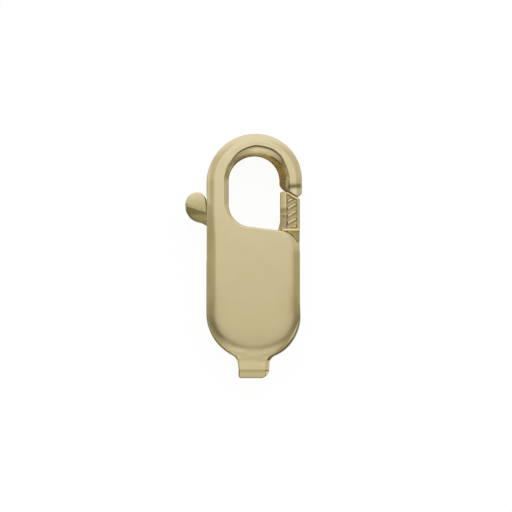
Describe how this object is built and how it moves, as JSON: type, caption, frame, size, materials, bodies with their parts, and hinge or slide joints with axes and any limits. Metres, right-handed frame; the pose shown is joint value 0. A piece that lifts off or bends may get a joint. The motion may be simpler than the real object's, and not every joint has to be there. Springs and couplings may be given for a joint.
{
  "type": "lobster clasp",
  "caption": "Small gold lobster clasp: hollow body with a round hook, sprung gate worked by a ball-ended thumb lever, and a folded tail loop for a jump ring.",
  "frame": {"origin": "on the flat back face, at the centre of the body's round tail end", "axes": "+Y towards the hook, +X towards the gate, +Z out of the front face, so the clasp lies on its back"},
  "size_m": [0.0062, 0.0129, 0.0025],
  "materials": {
    "gold_satin": "yellow gold, fine satin polish",
    "gold_polished": "yellow gold, soft polish",
    "spring_steel": "bare spring steel"
  },
  "bodies": {
    "body": {"shell": "gold_satin", "pivot_pin": "gold_polished", "return_spring": "spring_steel"},
    "gate": {"trigger": "gold_polished"}
  },
  "joints": [
    {"name": "trigger_pivot", "type": "hinge", "parent": "body", "child": "gate", "pos_m": [0.0017, 0.00272, 0.00125], "axis": [0, 0, 1], "range_deg": [0, 22], "stiffness_Nm_per_rad": 0.02, "deforming": ["return_spring"]}
  ]
}
